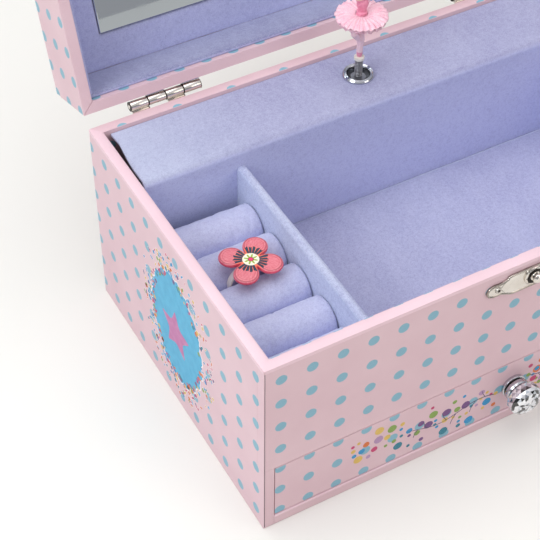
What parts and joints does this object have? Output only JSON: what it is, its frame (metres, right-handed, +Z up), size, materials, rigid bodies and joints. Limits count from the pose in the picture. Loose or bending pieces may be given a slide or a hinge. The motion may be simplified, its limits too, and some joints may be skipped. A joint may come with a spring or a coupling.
{
  "type": "ballerina jewellery box",
  "caption": "Papered jewellery box with a hinged mirror lid, padded ring rolls, a lined well, a drawer with a crystal knob and a folding dancer turned by a wind-up movement.",
  "frame": {"origin": "centre of the underside of the case, where it rests", "axes": "+X to the right seen from the front, +Y from the front to the back, +Z up; the rest pose has the lid open on its stop and the drawer closed"},
  "size_m": [0.24, 0.2492, 0.2517],
  "materials": {
    "paper_pink": "matt printed dotted paper",
    "paper_edge": "matt plain paper edge",
    "velour": "lavender flocked velour",
    "foam_velour": "lavender velour over foam",
    "board": "raw board",
    "mirror_glass": "silvered glass",
    "nickel": "bright nickel plate",
    "chrome": "polished chrome",
    "crystal": "cut crystal, silvered behind",
    "steel": "steel",
    "cast_zinc": "die cast zinc",
    "brass": "turned brass",
    "nylon": "moulded nylon",
    "skin": "painted moulded plastic",
    "tulle": "pink tulle",
    "painted_wood": "painted wood"
  },
  "bodies": {
    "case": {"left_wall": "paper_pink", "right_wall": "paper_pink", "back_wall": "paper_pink", "base_board": "paper_pink", "shelf": "board", "floor_lining": "velour", "wall_linings": "velour", "platform_cover": "velour", "divider": "foam_velour", "roll_riser": "foam_velour", "ring_rolls": "foam_velour", "hinge_case_leaves": "nickel", "hinge_pins": "steel", "hinge_case_screws": "nickel", "front_panel": "paper_pink", "clasp_plate": "nickel", "clasp_stud": "nickel", "clasp_nails": "nickel", "movement_bedplate": "cast_zinc", "movement_screws": "steel", "spring_housing": "brass", "mainspring": "steel", "comb": "steel", "small_screws": "steel", "governor_bracket": "steel", "cup_ring": "chrome"},
    "lid": {"lid_front_wall": "paper_pink", "lid_back_wall": "paper_pink", "lid_side_walls": "paper_pink", "lid_board": "paper_pink", "lid_lining": "velour", "mirror": "mirror_glass", "hinge_lid_leaves": "nickel", "hinge_lid_screws": "nickel", "clasp_upper_plate": "nickel", "clasp_upper_nails": "nickel", "hasp_pin": "steel"},
    "hasp": {"hasp": "nickel"},
    "drawer": {"drawer_front": "paper_pink", "drawer_sides": "board", "drawer_back": "board", "drawer_bottom": "board", "drawer_lining": "velour", "knob_collar": "chrome", "knob_crystal": "crystal", "knob_screw": "steel"},
    "dancer_mount": {"dancer_spring": "steel"},
    "dancer": {"dancer_peg": "nylon", "dancer_figure": "skin", "dancer_tutu": "tulle"},
    "cylinder": {"cylinder_arbor": "steel", "cylinder": "brass", "cylinder_gears": "brass"},
    "great_wheel": {"great_wheel": "brass"},
    "governor_wheel": {"governor_wheel": "nylon"},
    "air_fly": {"air_fly": "nylon"},
    "key": {"winding_arbor": "steel", "winding_key": "chrome"},
    "flower_ring": {"ring_band": "steel", "ring_flower": "painted_wood"}
  },
  "joints": [
    {"name": "lid_hinge", "type": "hinge", "parent": "case", "child": "lid", "pos_m": [0, 0.0797, 0.0998], "axis": [1, 0, 0], "range_deg": [0, 108.5]},
    {"name": "hasp_hinge", "type": "hinge", "parent": "lid", "child": "hasp", "pos_m": [0, 0.13145, 0.25004], "axis": [1, 0, 0], "range_deg": [0, 178]},
    {"name": "drawer_slide", "type": "slide", "parent": "case", "child": "drawer", "axis": [0, -1, 0], "range_m": [0, 0.105]},
    {"name": "dancer_fold", "type": "hinge", "parent": "case", "child": "dancer_mount", "pos_m": [0, 0.0549, 0.101], "axis": [1, 0, 0], "range_deg": [0, 78.2], "deforming": ["dancer_spring"]},
    {"name": "dancer_spin", "type": "hinge", "parent": "dancer_mount", "child": "dancer", "pos_m": [0, 0.0549, 0.101], "axis": [0, 0, 1], "continuous": true},
    {"name": "cylinder_spin", "type": "hinge", "parent": "case", "child": "cylinder", "pos_m": [0, 0.0549, 0.075], "axis": [0, 0, 1], "continuous": true},
    {"name": "great_wheel_spin", "type": "hinge", "parent": "case", "child": "great_wheel", "pos_m": [0, 0.06, 0.055], "axis": [0, 1, 0], "continuous": true},
    {"name": "governor_spin", "type": "hinge", "parent": "case", "child": "governor_wheel", "pos_m": [-0.01013, 0.0549, 0.087], "axis": [0, 0, 1], "continuous": true},
    {"name": "fly_spin", "type": "hinge", "parent": "case", "child": "air_fly", "pos_m": [-0.01812, 0.0549, 0.087], "axis": [0, 0, 1], "continuous": true},
    {"name": "key_turn", "type": "hinge", "parent": "case", "child": "key", "pos_m": [0, 0.08, 0.055], "axis": [0, 1, 0], "continuous": true},
    {"name": "ring_lift", "type": "slide", "parent": "case", "child": "flower_ring", "axis": [0, 0, 1], "range_m": [0, 0.02]}
  ],
  "couplings": [
    {"joint": "dancer_fold", "follows": "lid_hinge", "ratio": 0.71889},
    {"joint": "dancer_spin", "follows": "cylinder_spin", "ratio": 1},
    {"joint": "great_wheel_spin", "follows": "cylinder_spin", "ratio": -0.27273},
    {"joint": "governor_spin", "follows": "cylinder_spin", "ratio": -4},
    {"joint": "fly_spin", "follows": "cylinder_spin", "ratio": 16}
  ]
}
